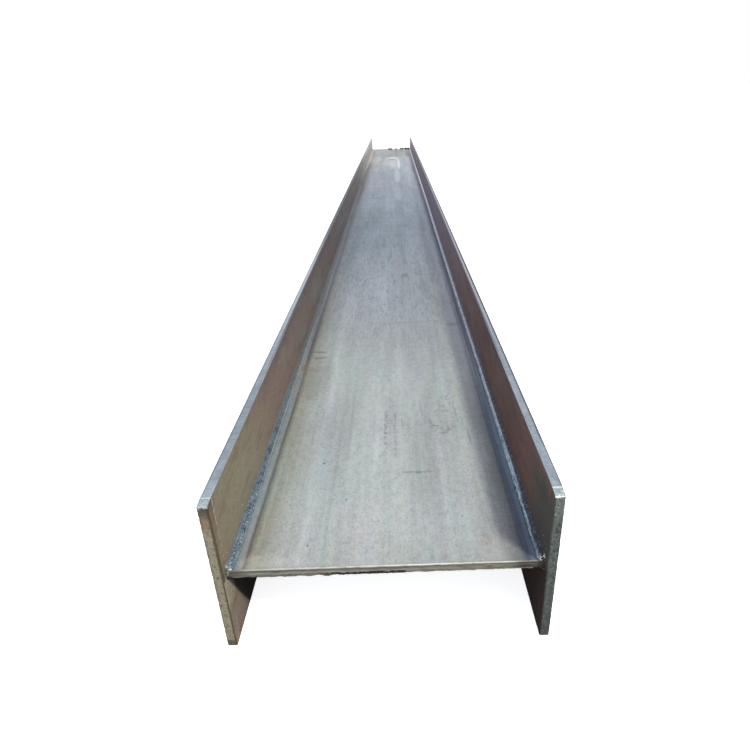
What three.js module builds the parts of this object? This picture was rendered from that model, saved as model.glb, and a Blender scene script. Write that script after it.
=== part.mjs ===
// A welded steel H-beam, lying with its web level and its two flanges upright.
//
// Three plates make it: two flange plates standing on their gas-cut edges, and a web plate
// that butts against their inner faces at mid height. A fillet weld runs the whole length
// of each of the four corners. Millimetres, +Z up, the beam's length along Y. The origin is
// on the floor, under the middle of the beam.

import * as THREE from "three";

// The section and the length.
const sectionDepth = 450; // across the outer faces of the two flanges
const flangeWidth = 250; // height of the beam as it lies
const flangeThickness = 14;
const webThickness = 12;
const beamLength = 6000;

// How the plates were cut.
const arrisRadius = 1.2; // melted arris round each flange plate
const arrisSegments = 3;
const cornerTrimLength = 14; // the upper flange corners are dressed back over this length
const leftTrimDrop = 1.5; // and by this height at the very end, on the left flange
const rightTrimDrop = 4; // and on the right one
const webSetback = 10; // the web stops this far short of the flange ends
const lipRadius = 1.8; // rounded upper lip of the web's cut end
const lipLand = 0.7; // flat land between the lip and the cutting groove
const grooveHeight = 1.6; // groove that the cutting jet left under the lip
const grooveDepth = 0.9;
const burrChamfer = 0.8; // lower arris of the web's cut end

// The fillet welds.
const weldLeg = 10; // on the web and on the flange
const weldCrown = 1.1; // how far the face stands proud of a straight one
const faceSegments = 6;
const swellPitch = 60; // spacing of the sections that carry the slow swell of the bead
const swellHeight = 0.05; // swell, as a share of the leg
const weldSetback = 0.5; // the bead stops this far short of the web's end
const craterLength = 16; // the bead's end is rounded off over this length
const craterSections = 6;
const craterTip = 0.35; // leg at the very end, as a share of the full leg
const startLump = 0.14; // extra leg in the lump just behind the rounded end
const widestLeg = weldLeg * (1 + swellHeight + startLump);

// Places that follow from the sizes above.
const innerFaceX = sectionDepth / 2 - flangeThickness;
const webTopZ = (flangeWidth + webThickness) / 2;
const webBottomZ = (flangeWidth - webThickness) / 2;
const webHalfLength = beamLength / 2 - webSetback;
const weldHalfLength = webHalfLength - weldSetback;

const X = new THREE.Vector3(1, 0, 0);
const Y = new THREE.Vector3(0, 1, 0);
const Z = new THREE.Vector3(0, 0, 1);

function steel(colour, roughness) {
  return new THREE.MeshStandardMaterial({ color: colour, roughness, metalness: 0.85 });
}

const flangeSteel = steel(0x837c6a, 0.62);
const webSteel = steel(0xa6a8a0, 0.5);
const weldMetal = steel(0x6b7680, 0.45);

// An extrusion whose sections lie at the given stations instead of at equal steps. Each
// section can be scaled about the outline's own origin, so a side that runs through that
// origin stays in its plane.
function extrudeThrough(shape, stations, scaleAt = () => 1, curveSegments = 8) {
  const spans = stations.length - 1;
  const geometry = new THREE.ExtrudeGeometry(shape, {
    depth: spans,
    steps: spans,
    bevelEnabled: false,
    curveSegments,
  });
  const position = geometry.attributes.position;
  for (let i = 0; i < position.count; i += 1) {
    const along = stations[Math.round(position.getZ(i))];
    const scale = scaleAt(along);
    position.setXYZ(i, position.getX(i) * scale, position.getY(i) * scale, along);
  }
  geometry.computeVertexNormals();
  return geometry;
}

// A flange plate: its outline seen from the side, with the two upper corners dressed back by
// the drop, given its thickness with a rounded arris all round.
function flangePlateGeometry(trimDrop) {
  const end = beamLength / 2;
  const trimmed = end - cornerTrimLength;
  const outline = new THREE.Shape([
    new THREE.Vector2(-end, 0),
    new THREE.Vector2(end, 0),
    new THREE.Vector2(end, flangeWidth - trimDrop),
    new THREE.Vector2(trimmed, flangeWidth),
    new THREE.Vector2(-trimmed, flangeWidth),
    new THREE.Vector2(-end, flangeWidth - trimDrop),
  ]);
  const geometry = new THREE.ExtrudeGeometry(outline, {
    depth: flangeThickness - 2 * arrisRadius,
    bevelEnabled: true,
    bevelThickness: arrisRadius,
    bevelSize: arrisRadius,
    bevelOffset: -arrisRadius,
    bevelSegments: arrisSegments,
  });
  geometry.translate(0, 0, arrisRadius - flangeThickness / 2);
  return geometry.applyMatrix4(new THREE.Matrix4().makeBasis(Y, Z, X));
}

// One cut end of the web, walked from its lower face to its upper one: a chamfered burr, the
// cut face, the groove of the cutting jet, a narrow land and the rounded lip. The side is 1
// at the +Y end and -1 at the other.
function webEndPoints(side) {
  const grooveTop = webTopZ - lipRadius - lipLand;
  const grooveBottom = grooveTop - grooveHeight;
  const points = [
    [webHalfLength - burrChamfer, webBottomZ],
    [webHalfLength, webBottomZ + burrChamfer],
    [webHalfLength, grooveBottom],
    [webHalfLength - grooveDepth, (grooveTop + grooveBottom) / 2],
    [webHalfLength, grooveTop],
  ];
  const lipSegments = 4;
  for (let i = 0; i <= lipSegments; i += 1) {
    const turn = (i / lipSegments) * (Math.PI / 2);
    const inset = lipRadius * (1 - Math.cos(turn));
    points.push([webHalfLength - inset, webTopZ - lipRadius * (1 - Math.sin(turn))]);
  }
  return points.map(([along, up]) => new THREE.Vector2(side * along, up));
}

// The web plate: its profile seen from the side, extruded from one flange to the other. The
// sections at the weld toes split its faces, so that the middle is one clear rectangle.
function webPlateGeometry() {
  const outline = new THREE.Shape([...webEndPoints(1), ...webEndPoints(-1).reverse()]);
  const toe = innerFaceX - widestLeg;
  const geometry = extrudeThrough(outline, [-innerFaceX, -toe, toe, innerFaceX]);
  return geometry.applyMatrix4(new THREE.Matrix4().makeBasis(Y, Z, X));
}

// The size of a weld bead at a distance along the beam, as a share of the full leg. The
// slow swell is two waves that never fall into step; the ends have a lump and a rounded tip.
function beadScale(along, phase) {
  const wave = Math.sin(along / 97 + phase) + Math.sin(along / 231 + 2.3 * phase);
  const swell = 1 + (swellHeight / 2) * wave;
  const fromEnd = Math.min(1, (weldHalfLength - Math.abs(along)) / craterLength);
  const lump = startLump * Math.sin(Math.PI * fromEnd);
  const rounding = Math.sqrt(Math.max(0, 1 - (1 - fromEnd) ** 2));
  return (swell + lump) * (craterTip + (1 - craterTip) * rounding);
}

// The stations of a bead: close together in the rounded ends, then one at each swell pitch.
function beadStations() {
  const body = weldHalfLength - craterLength;
  const spans = Math.ceil((2 * body) / swellPitch);
  const stations = [];
  for (let i = 0; i < craterSections; i += 1) {
    stations.push(-weldHalfLength + craterLength * (i / craterSections) ** 2);
  }
  for (let i = 0; i <= spans; i += 1) {
    stations.push(-body + (2 * body * i) / spans);
  }
  for (let i = craterSections - 1; i >= 0; i -= 1) {
    stations.push(weldHalfLength - craterLength * (i / craterSections) ** 2);
  }
  return stations;
}

// A fillet weld in the corner of a flange and the web. Its two legs lie flat on the plates,
// and its face is a shallow arch between the toes. across and up are 1 or -1, and say which
// way the legs run from the corner.
function filletWeldGeometry(across, up, phase) {
  const control = weldLeg / 2 + weldCrown * Math.SQRT2;
  const outline = new THREE.Shape();
  outline.moveTo(0, 0);
  outline.lineTo(0, across * weldLeg);
  outline.quadraticCurveTo(up * control, across * control, up * weldLeg, 0);
  outline.closePath();
  const scaleAt = (along) => beadScale(along, phase);
  const geometry = extrudeThrough(outline, beadStations(), scaleAt, faceSegments);
  return geometry.applyMatrix4(new THREE.Matrix4().makeBasis(Z, X, Y));
}

function namedMesh(name, geometry, material, x, z) {
  const mesh = new THREE.Mesh(geometry, material);
  mesh.name = name;
  mesh.position.set(x, 0, z);
  return mesh;
}

const beam = new THREE.Group();

const sides = [
  { name: "left", sign: -1, trimDrop: leftTrimDrop },
  { name: "right", sign: 1, trimDrop: rightTrimDrop },
];
const levels = [
  { name: "upper", sign: 1, faceZ: webTopZ },
  { name: "lower", sign: -1, faceZ: webBottomZ },
];

beam.add(namedMesh("web_plate", webPlateGeometry(), webSteel, 0, 0));
for (const side of sides) {
  const flangeX = side.sign * (innerFaceX + flangeThickness / 2);
  const flangeGeometry = flangePlateGeometry(side.trimDrop);
  beam.add(namedMesh(`flange_plate_${side.name}`, flangeGeometry, flangeSteel, flangeX, 0));
  for (const level of levels) {
    const phase = side.sign + 0.4 * level.sign;
    const geometry = filletWeldGeometry(-side.sign, level.sign, phase);
    const name = `fillet_weld_${level.name}_${side.name}`;
    beam.add(namedMesh(name, geometry, weldMetal, side.sign * innerFaceX, level.faceZ));
  }
}

export default beam;
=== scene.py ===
import math
import random

import bmesh
import bpy
from mathutils import Matrix, Vector, noise


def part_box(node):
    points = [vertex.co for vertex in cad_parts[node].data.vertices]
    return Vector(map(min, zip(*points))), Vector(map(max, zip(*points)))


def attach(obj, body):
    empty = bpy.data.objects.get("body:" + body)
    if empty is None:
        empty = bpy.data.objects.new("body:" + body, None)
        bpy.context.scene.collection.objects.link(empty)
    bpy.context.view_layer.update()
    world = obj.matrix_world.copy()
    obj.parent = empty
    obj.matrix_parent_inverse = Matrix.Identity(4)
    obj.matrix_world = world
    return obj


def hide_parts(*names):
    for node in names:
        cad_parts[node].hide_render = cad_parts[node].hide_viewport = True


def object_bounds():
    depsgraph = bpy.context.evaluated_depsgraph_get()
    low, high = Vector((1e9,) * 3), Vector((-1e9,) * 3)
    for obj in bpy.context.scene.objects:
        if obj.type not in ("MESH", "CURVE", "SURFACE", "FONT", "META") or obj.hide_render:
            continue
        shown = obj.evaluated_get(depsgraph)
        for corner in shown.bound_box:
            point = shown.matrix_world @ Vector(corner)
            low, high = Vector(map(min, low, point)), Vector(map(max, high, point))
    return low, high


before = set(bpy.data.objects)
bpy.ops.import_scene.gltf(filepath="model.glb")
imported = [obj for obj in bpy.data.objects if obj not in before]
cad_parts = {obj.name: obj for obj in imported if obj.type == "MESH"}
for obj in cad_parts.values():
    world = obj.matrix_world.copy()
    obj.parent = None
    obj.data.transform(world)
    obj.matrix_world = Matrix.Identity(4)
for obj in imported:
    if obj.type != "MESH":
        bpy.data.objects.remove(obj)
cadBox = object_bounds()
print("frame loaded:", ", ".join(sorted(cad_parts)))

mm = 0.001
hair = 0.01 * mm  # places closer than this count as the same
nearEndY = cadBox[0].y
farEndY = cadBox[1].y
beamLength = (farEndY - nearEndY) / mm
webLow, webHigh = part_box("web_plate")


# small tools

def linearColour(hexText):
    channels = [int(hexText[i:i + 2], 16) / 255 for i in (1, 3, 5)]
    linear = [c / 12.92 if c <= 0.04045 else ((c + 0.055) / 1.055) ** 2.4 for c in channels]
    return (*linear, 1.0)


def addNode(tree, kind, settings=None, links=None, stops=None):
    # one node with its settings; links gives each input a value or another node's socket, and
    # stops gives a colour ramp its (place, hex colour) pairs
    made = tree.nodes.new(kind)
    for name, value in (settings or {}).items():
        setattr(made, name, value)
    for name, value in (links or {}).items():
        if isinstance(value, bpy.types.NodeSocket):
            tree.links.new(value, made.inputs[name])
        else:
            made.inputs[name].default_value = value
    if stops:
        elements = made.color_ramp.elements
        elements.remove(elements[-1])
        elements[0].position = stops[0][0]
        elements[0].color = linearColour(stops[0][1])
        for place, colour in stops[1:]:
            elements.new(place).color = linearColour(colour)
    return made


def makeFinish(name, plan):
    # a material from its plan, with every length in millimetres from the middle of the near end.
    # A layer is driven by a noise (grain: its sizes, detail and roughness), by a distance (along)
    # or by an oval patch, and it multiplies what is below by a ramp (stops) or covers it with one
    # tone. Each zone is an axis, the place where the layer starts and the place where it is full.
    # A wander makes the borders stray, a cut is where the driver starts to count and counts in
    # full, bump is a depth and a strength, and shift changes a value of the shader
    material = bpy.data.materials.new(name)
    material.use_nodes = True
    tree = material.node_tree
    shader = tree.nodes["Principled BSDF"]
    shaderValues = {"Metallic": plan["metallic"], "Roughness": plan["roughness"]}
    for socket, value in shaderValues.items():
        shader.inputs[socket].default_value = value
    metres = addNode(tree, "ShaderNodeTexCoord").outputs["Object"]
    place = addNode(tree, "ShaderNodeMapping", None, {
        "Vector": metres, "Location": (0, -nearEndY / mm, 0),
        "Scale": (1 / mm, 1 / mm, 1 / mm)}).outputs[0]
    split = addNode(tree, "ShaderNodeSeparateXYZ", None, {0: place}).outputs
    fromMiddle = addNode(tree, "ShaderNodeMath", {"operation": "ABSOLUTE"}, {0: split["X"]})
    alongHalf = addNode(tree, "ShaderNodeMath", {"operation": "SUBTRACT"},
                        {0: split["Y"], 1: beamLength / 2})
    fromMidLength = addNode(tree, "ShaderNodeMath", {"operation": "ABSOLUTE"},
                            {0: alongHalf.outputs[0]})
    fromEnd = addNode(tree, "ShaderNodeMath", {"operation": "SUBTRACT"},
                      {0: beamLength / 2, 1: fromMidLength.outputs[0]})
    axes = {"x": split["X"], "y": split["Y"], "z": split["Z"],
            "fromMiddle": fromMiddle.outputs[0], "fromEnd": fromEnd.outputs[0]}

    colour = linearColour(plan["base"])
    normal = None
    patterns = {}
    for layer in plan["layers"]:
        for spec in (layer.get("grain"), layer.get("wander")):
            if spec and spec not in patterns:
                sizes, detail, coarse = spec
                scaled = addNode(tree, "ShaderNodeMapping", None,
                                 {"Vector": place, "Scale": [1 / size for size in sizes]})
                patterns[spec] = addNode(tree, "ShaderNodeTexNoise", None, {
                    "Vector": scaled.outputs[0], "Scale": 1.0, "Detail": detail,
                    "Roughness": coarse}).outputs["Fac"]
        shifted = dict(axes)
        stray = layer.get("strayBy", 0)
        if "wander" in layer:
            for axis in axes:
                shifted[axis] = addNode(tree, "ShaderNodeMath", {"operation": "MULTIPLY_ADD"}, {
                    0: patterns[layer["wander"]], 1: stray, 2: axes[axis]}).outputs[0]

        if "grain" in layer:
            driver = patterns[layer["grain"]]
        elif "along" in layer:
            axis, start, end = layer["along"]
            driver = addNode(tree, "ShaderNodeMapRange", None, {
                "Value": shifted[axis], "From Min": start + stray / 2,
                "From Max": end + stray / 2}).outputs[0]
        elif "oval" in layer:
            centre, half, turn = layer["oval"]
            local = addNode(tree, "ShaderNodeMapping", {"vector_type": "TEXTURE"}, {
                "Vector": place, "Location": centre, "Rotation": (0, 0, turn), "Scale": half})
            reach = addNode(tree, "ShaderNodeVectorMath", {"operation": "LENGTH"},
                            {0: local.outputs[0]})
            driver = addNode(tree, "ShaderNodeMath", {"operation": "MULTIPLY_ADD"}, {
                0: patterns[layer["wander"]], 1: stray, 2: reach.outputs["Value"]}).outputs[0]
        else:
            driver = 1.0

        share = layer.get("strength", 1.0)
        for axis, start, end in layer.get("zones", ()):
            edge = addNode(tree, "ShaderNodeMapRange", {"interpolation_type": "SMOOTHSTEP"}, {
                "Value": shifted[axis], "From Min": start + stray / 2, "From Max": end + stray / 2})
            share = addNode(tree, "ShaderNodeMath", {"operation": "MULTIPLY"},
                            {0: edge.outputs[0], 1: share}).outputs[0]
        if "cut" in layer:
            start, end = layer["cut"]
            inside = addNode(tree, "ShaderNodeMapRange", {"interpolation_type": "SMOOTHSTEP"},
                             {"Value": driver, "From Min": start, "From Max": end})
            share = addNode(tree, "ShaderNodeMath", {"operation": "MULTIPLY"},
                            {0: inside.outputs[0], 1: share}).outputs[0]

        upper = None
        if "tone" in layer:
            upper = linearColour(layer["tone"])
        if "stops" in layer:
            upper = addNode(tree, "ShaderNodeValToRGB", None, {"Fac": driver},
                            layer["stops"]).outputs["Color"]
        if upper:
            blend = "MULTIPLY" if "stops" in layer else "MIX"
            colour = addNode(tree, "ShaderNodeMix", {"data_type": "RGBA", "blend_type": blend},
                             {"Factor": share, "A": colour, "B": upper}).outputs["Result"]
        for socket, amount in layer.get("shift", {}).items():
            shaderValues[socket] = addNode(
                tree, "ShaderNodeMath", {"operation": "MULTIPLY_ADD"},
                {0: share if "cut" in layer else driver, 1: amount,
                 2: shaderValues[socket]}).outputs[0]
        if "bump" in layer:
            depth, strength = layer["bump"]
            links = {"Height": driver, "Distance": depth * mm, "Strength": strength}
            if normal:
                links["Normal"] = normal
            normal = addNode(tree, "ShaderNodeBump", None, links).outputs[0]

    tree.links.new(colour, shader.inputs["Base Color"])
    if normal:
        tree.links.new(normal, shader.inputs["Normal"])
    for socket, value in shaderValues.items():
        if isinstance(value, bpy.types.NodeSocket):
            tree.links.new(value, shader.inputs[socket])
    return material


def tone(colour, strength, *zones, **rest):
    # a layer that covers its zones with one colour
    return {"tone": colour, "strength": strength, "zones": zones, **rest}


def layersWithin(layers, low, high, fade=1.5):
    # the layers that show anywhere between two distances from the near end, in millimetres. An
    # oval is gone at fade times its half size
    kept = []
    for layer in layers:
        if "oval" in layer:
            centre, half = layer["oval"][:2]
            reach = fade * (half[0] + half[1])
            shows = centre[1] + reach > low and centre[1] - reach < high
        else:
            margin = layer.get("strayBy", 0) / 2
            shows = True
            for axis, start, end in layer.get("zones", ()):
                if axis == "y" and start < end and high < start - margin:
                    shows = False
                if axis == "y" and start > end and low > start + margin:
                    shows = False
        if shows:
            kept.append(layer)
    return kept


def smoothByAngle(bm, angle):
    for face in bm.faces:
        face.smooth = True
    for edge in bm.edges:
        edge.smooth = edge.calc_face_angle(0) < angle


def finishPiece(bm, name, node, materials, angle=0.6):
    # turns the bmesh into a piece that rides on the one body and may stand for a CAD node
    smoothByAngle(bm, angle)
    mesh = bpy.data.meshes.new(name)
    bm.to_mesh(mesh)
    bm.free()
    for material in materials:
        mesh.materials.append(material)
    piece = bpy.data.objects.new(name, mesh)
    bpy.context.scene.collection.objects.link(piece)
    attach(piece, "root")
    if node:
        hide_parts(node)


def edgesAlong(bm, axis, test=None, straight=0.999):
    # the edges that run along one axis, 0 for X, 1 for Y and 2 for Z
    found = []
    for edge in bm.edges:
        run = edge.verts[1].co - edge.verts[0].co
        if abs(run[axis]) > straight * run.length and (not test or test(edge)):
            found.append(edge)
    return found


def addBox(bm, low, high):
    made = bmesh.ops.create_cube(bm, size=1.0)
    bmesh.ops.scale(bm, vec=high - low, verts=made["verts"])
    bmesh.ops.translate(bm, vec=(low + high) / 2, verts=made["verts"])


def gradedLength(y, half, closeness):
    # moves an even step along the beam towards the nearer end, so that both ends get small faces
    share = 1 - abs(y) / half
    fromEnd = half * (math.exp(closeness * share) - 1) / (math.exp(closeness) - 1)
    return math.copysign(half - fromEnd, y)


def noiseAt(place, size):
    # noise from about -1 to 1, in grains of a size along each axis. A whole number that is written
    # into a noise's place, here or below, only picks another pattern
    return noise.noise(Vector([place[i] / size[i] for i in range(3)]))


def smoothStep(value, start, end):
    t = min(1.0, max(0.0, (value - start) / (end - start)))
    return t * t * (3 - 2 * t)


# patterns and zones that several layers share; a pattern is its sizes across, along and up, its
# detail and its roughness. Pits, specks and the grain of rust are under a millimetre on real
# steel, and on every piece they are drawn at 2 to 5 mm so that they show

ragged = ((6, 9, 6), 4.0, 0.65)
drift = ((30, 160, 30), 3.0, 0.6)
toeEdge = ((20, 50, 20), 3.0, 0.5)
blotch = ((9, 9, 9), 3.0, 0.5)
specks = ((1.8, 2.4, 1.8), 2.0, 0.5)
leftHalf = ("x", 0, -1)
rightHalf = ("x", 0, 1)


# web plate

webPlan = {
    "crossCuts": 71,
    "wideSpan": 50,
    "lengthCuts": 340,
    "endCuts": 26,
    "splitReach": 2.5,
    "closeness": 2.83,
    "endFacing": 0.5,
    # fine lines of faces beside the beads, and the shallow dip that the heat left there
    "toeLines": (186, 187.5, 188.5, 190, 192, 199, 201),
    "toeLine": 188.3,
    "toeWidth": 1.6,
    "toeDepth": 0.35,
    # how far the plate is out of flat, its waves to a metre, and where they rise from the flange
    "flatness": 0.35,
    "waves": (5, 2.2),
    "waveStart": (12, 60),
    # the cut end, from its upper lip down: the heights of its bands and how far they lie back
    "endReach": 2.4,
    "lipHeight": 3.3,
    "grooveHeight": 1.4,
    "grooveDepth": 1.5,
    "bandInset": 0.25,
    "footShare": 0.8,
    "footInset": 0.5,
    # the torch's ragged runs: depth, size across and size up
    "coarseRun": (0.22, 9, 5),
    "fineRun": (0.15, 2.2, 2.5),
    "stretchChange": 1000,
    "stretchOverlap": 60,
    "markDepth": 8,
    "markStray": 0.9,
    "markCut": (1.45, 0.9),
    # dirt, oil, rust, worn scale and one painted shadow: x, y, half width, half length, turn,
    # colour, strength
    "marks": (
        (-68, 92, 6, 8, 0.3, "#7C7F84", 0.35),
        (-78, 78, 12, 1.6, 0.75, "#85888C", 0.4),
        (36, 202, 11, 3.4, 0.05, "#74726A", 0.55),
        (52, 201, 8, 4.6, 0.02, "#66645C", 0.65),
        (70, 202, 12, 3.0, 0.02, "#74726A", 0.5),
        (49, 262, 8, 30, 0.0, "#8F9084", 0.4),
        (-168, 668, 22, 7, -0.1, "#6E675F", 0.65),
        (-160, 636, 26, 7, 0.05, "#766F61", 0.65),
        (-160, 600, 30, 8, 0.05, "#BDB68E", 0.5),
        (-176, 574, 26, 6, 0.08, "#9C7F5C", 0.6),
        (54, 1262, 13, 34, 0.0, "#5C5A52", 0.65),
        (100, 1270, 11, 22, 0.0, "#73756C", 0.5),
        (60, 840, 130, 12, 0.06, "#84857F", 0.5),
        (170, 818, 24, 15, 0.0, "#77736D", 0.5),
        (-20, 1330, 190, 18, 0.0, "#8D9090", 0.35),
        (-30, 95, 60, 62, 0.0, "#BDAFAC", 0.2),
        (-145, 250, 30, 60, 0.0, "#9B9C94", 0.35),
        (-194, 592, 7, 24, 0.0, "#A87850", 0.6),
        (-106, 232, 2.2, 3, 0.0, "#4E4E50", 0.8),
        (-61, 141, 1.8, 3, 0.0, "#55565A", 0.8),
        (-108, 50, 1.6, 2.4, 0.0, "#4A4B50", 0.8),
        (112, 98, 1.8, 2.4, 0.0, "#5A5B60", 0.7),
        (-22, 2900, 50, 420, 0.0, "#7E8893", 0.4),
        (46, 3000, 34, 420, 0.0, "#E0E6EA", 0.2),
        (-20, 3800, 150, 520, 0.0, "#8794A6", 0.45),
        (10, 5690, 190, 60, 0.0, "#8A8680", 0.4),
        (-168, 22, 44, 20, 0.0, "#DEDDD0", 0.15),
        (50, 3800, 33, 520, 0.0, "#E6EAEA", 0.42),
        (-44, 4750, 44, 520, 0.0, "#E6E8E4", 0.28),
        (94, 4650, 24, 520, 0.0, "#F2F2EC", 0.26),
        (30, 4600, 64, 560, 0.0, "#E8E8E6", 0.45),
        (20, 5010, 72, 170, 0.0, "#F2F2EF", 0.6),
        (70, 4560, 15, 560, 0.0, "#FFFFFC", 0.65),
        (94, 4250, 12, 700, 0.0, "#B4C8C8", 0.3),
        (-90, 3700, 22, 620, 0.0, "#8B949C", 0.35),
        (12, 4890, 44, 62, 0.0, "#66625E", 0.9),
        (-140, 4950, 72, 340, 0.0, "#DCDCCC", 0.45),
        (-165, 4850, 60, 520, 0.0, "#BDB498", 0.5),
        (-196, 4200, 16, 90, 0.0, "#A0706C", 0.5),
        (100, 5700, 90, 110, 0.0, "#6E665E", 0.55),
        (198, 4000, 7, 1300, 0.0, "#6E7084", 0.6),
        # painted shadow of the right flange near the far end
        (171, 5440, 34, 460, 0.0, "#4E4A48", 0.9),
        (-200, 5200, 20, 900, 0.0, "#EAE4D0", 0.75),
        (-160, 530, 52, 120, 0.0, "#86847C", 0.48),
        (-185, 3800, 30, 1100, 0.0, "#7D6C62", 0.45),
        (-110, 5950, 90, 110, 0.0, "#8A8882", 0.6),
        (-12, 5940, 30, 150, 0.0, "#262422", 0.95),
        (56, 5945, 14, 120, 0.0, "#262422", 0.95),
        (122, 5940, 26, 130, 0.0, "#262422", 0.95),
        (178, 5930, 28, 160, 0.0, "#262422", 0.95),
        (28, 347, 2.0, 28, 0.04, "#746A72", 0.35),
        (66, 398, 2.2, 46, 0.07, "#746A72", 0.3),
        (56, 348, 2.2, 18, -0.45, "#746A72", 0.3),
        (82, 348, 2.2, 15, 0.0, "#6A5E68", 0.4),
        (90, 335, 9, 2.6, 0.0, "#6A5E68", 0.5),
        (113, 326, 2.4, 15, 0.0, "#6A5E68", 0.45),
        (104, 311, 10, 3.0, 0.1, "#6A5E68", 0.5),
        (124, 448, 2.2, 34, -0.45, "#746A72", 0.3),
        (132, 382, 2.4, 44, 0.05, "#746A72", 0.35),
        (148, 300, 2.4, 38, 0.03, "#6E626C", 0.45),
    ),
    # hot-rolled plate under a thin mill scale: a satin pale grey with lengthwise bands from the
    # rolls, cloudy tints, fine dark pits and a heat tint beside the welds, with painted shade and
    # painted light along the length and beside the flanges
    "steel": {
        "base": "#D1D4CF", "metallic": 0.35, "roughness": 0.48,
        "layers": [
            {"along": ("fromMiddle", 211, 151), "wander": toeEdge, "strayBy": 3,
             "zones": (leftHalf,),
             "stops": ((0.0, "#8B9196"), (0.16, "#B2C0CC"), (0.20, "#D6E4EE"), (0.31, "#F4F8FC"),
                       (0.355, "#BDBEC4"), (0.39, "#AFAEB6"), (0.43, "#D8D6D6"), (0.55, "#FFFFF6"),
                       (1.0, "#FFFFFF"))},
            # heat tint beside the right bead, darkened near the end as painted shade of the right
            # flange
            {"along": ("fromMiddle", 211, 151), "wander": toeEdge, "strayBy": 3,
             "zones": (rightHalf, ("y", 750, 300)),
             "stops": ((0.0, "#8794A4"), (0.17, "#B2D4EA"), (0.23, "#B4C6E2"), (0.30, "#95A3C8"),
                       (0.34, "#767FA2"), (0.40, "#9FA5B5"), (0.48, "#B6BCC4"), (0.55, "#C4C3C8"),
                       (0.72, "#F2EFF2"), (0.85, "#F7F4F8"), (1.0, "#FFFFFF"))},
            # the same heat tint further along, without that painted shade
            {"along": ("fromMiddle", 211, 151), "wander": toeEdge, "strayBy": 3,
             "zones": (rightHalf, ("y", 300, 750)),
             "stops": ((0.0, "#8794A4"), (0.17, "#D4E4F4"), (0.22, "#AEBACC"), (0.27, "#B0BACC"),
                       (0.333, "#C6CBD6"), (0.40, "#E4E6F0"), (0.483, "#F6F5FA"),
                       (0.62, "#FFFCFF"), (1.0, "#FFFFFF"))},
            {"along": ("y", 250, 900), "zones": (("x", -150, -188), ("y", 4200, 2600)),
             "stops": ((0.0, "#FFFFFF"), (1.0, "#FFF3EC"))},
            {"grain": ((60, 350, 60), 3.0, 0.5),
             "zones": (("x", -120, -170), ("x", -193, -188), ("y", 1100, 250)),
             "stops": ((0.25, "#FFFFFF"), (0.7, "#F6EEDA"))},
            # painted shade and glare: darker and bluer through the middle stretch, paler towards the
            # far end
            {"along": ("y", 0, 6000), "wander": ((220, 700, 220), 3.0, 0.6), "strayBy": 420,
             "stops": ((0.0, "#E9E6E9"), (0.017, "#F3F8FC"), (0.033, "#F2F5F8"), (0.057, "#EBEFF1"),
                       (0.09, "#F9FEFF"), (0.135, "#DADFE1"), (0.217, "#CFD9DF"), (0.333, "#9FB8C9"),
                       (0.5, "#C4D8E6"), (0.7, "#FAFFF6"), (0.92, "#FEFEE7"))},
            {"along": ("x", -170, 170), "wander": drift, "strayBy": 5,
             "stops": ((0.05, "#F1F1F1"), (0.15, "#FFFFFF"), (0.25, "#F5F5F5"), (0.31, "#FBFBFB"),
                       (0.39, "#F7F7F7"), (0.45, "#FFFFFF"), (0.56, "#FAFAFA"), (0.66, "#EEEEEE"),
                       (0.76, "#F0F0F0"), (0.90, "#F6F6F6"))},
            {"along": ("x", -170, 170), "wander": drift, "strayBy": 5,
             "zones": (("y", 300, 160),),
             "stops": ((0.0, "#FFFFFF"), (0.25, "#F3F8F4"), (0.45, "#FAFEFB"), (0.56, "#F5F6F4"),
                       (0.65, "#ECECEA"), (0.75, "#F4F4F3"))},
            {"grain": ((16, 3500, 1000), 4.0, 0.6), "bump": (0.6, 0.3),
             "stops": ((0.34, "#EEEFF1"), (0.5, "#F9F9FA"), (0.66, "#FFFFFF"))},
            {"grain": ((9, 700, 300), 4.0, 0.65), "zones": (("y", 500, 2500),),
             "stops": ((0.30, "#E4E5EC"), (0.45, "#F6F5F8"), (0.60, "#FFFFFF"), (0.72, "#F6FAF8"))},
            {"grain": ((5, 240, 200), 4.0, 0.65), "zones": (("y", 1100, 500),), "strength": 0.35,
             "stops": ((0.30, "#EFEFF0"), (0.50, "#FAFAFA"), (0.66, "#FFFFFF"))},
            {"grain": ((45, 420, 45), 4.0, 0.6),
             "stops": ((0.30, "#EAEEF0"), (0.42, "#F3F0F1"), (0.50, "#F7F6F4"), (0.58, "#EDF2EE"),
                       (0.70, "#F8F2EF"))},
            {"grain": ((110, 700, 110), 5.0, 0.65), "shift": {"Roughness": -0.2},
             "stops": ((0.28, "#D8D8D5"), (0.45, "#F1F1EF"), (0.6, "#FFFFFF"))},
            {"grain": ((5, 46, 5), 3.0, 0.75), "zones": (("y", 450, 1000),),
             "stops": ((0.28, "#B6B9BF"), (0.40, "#E0E3E4"), (0.50, "#FDFAFC"), (0.60, "#FFFFFF"))},
            {"grain": ((20, 210, 20), 4.0, 0.7), "zones": (("y", 900, 1500),),
             "stops": ((0.30, "#C4D2CF"), (0.42, "#E7EDEB"), (0.50, "#FFFAFE"), (0.58, "#FFFFFF"),
                       (0.70, "#F4EAF0"))},
            {"grain": ((24, 1500, 300), 3.0, 0.6), "zones": (("y", 1900, 3200),),
             "stops": ((0.30, "#D2DCE0"), (0.42, "#EFF2F4"), (0.52, "#FFFFFF"), (0.70, "#F6F0F4"))},
            {"grain": ((420, 36, 300), 3.0, 0.65), "zones": (("y", 900, 2200),), "strength": 0.9,
             "stops": ((0.30, "#D4DADA"), (0.42, "#F0F2F1"), (0.55, "#FFFFFF"))},
            # painted light: lighter beside the left bead, against the shade of the flange and bead
            tone("#CDD2D6", 0.4, ("x", -138, -205), ("y", 620, 1200), ("y", 3400, 2500),
                 wander=drift, strayBy=14),
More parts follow.
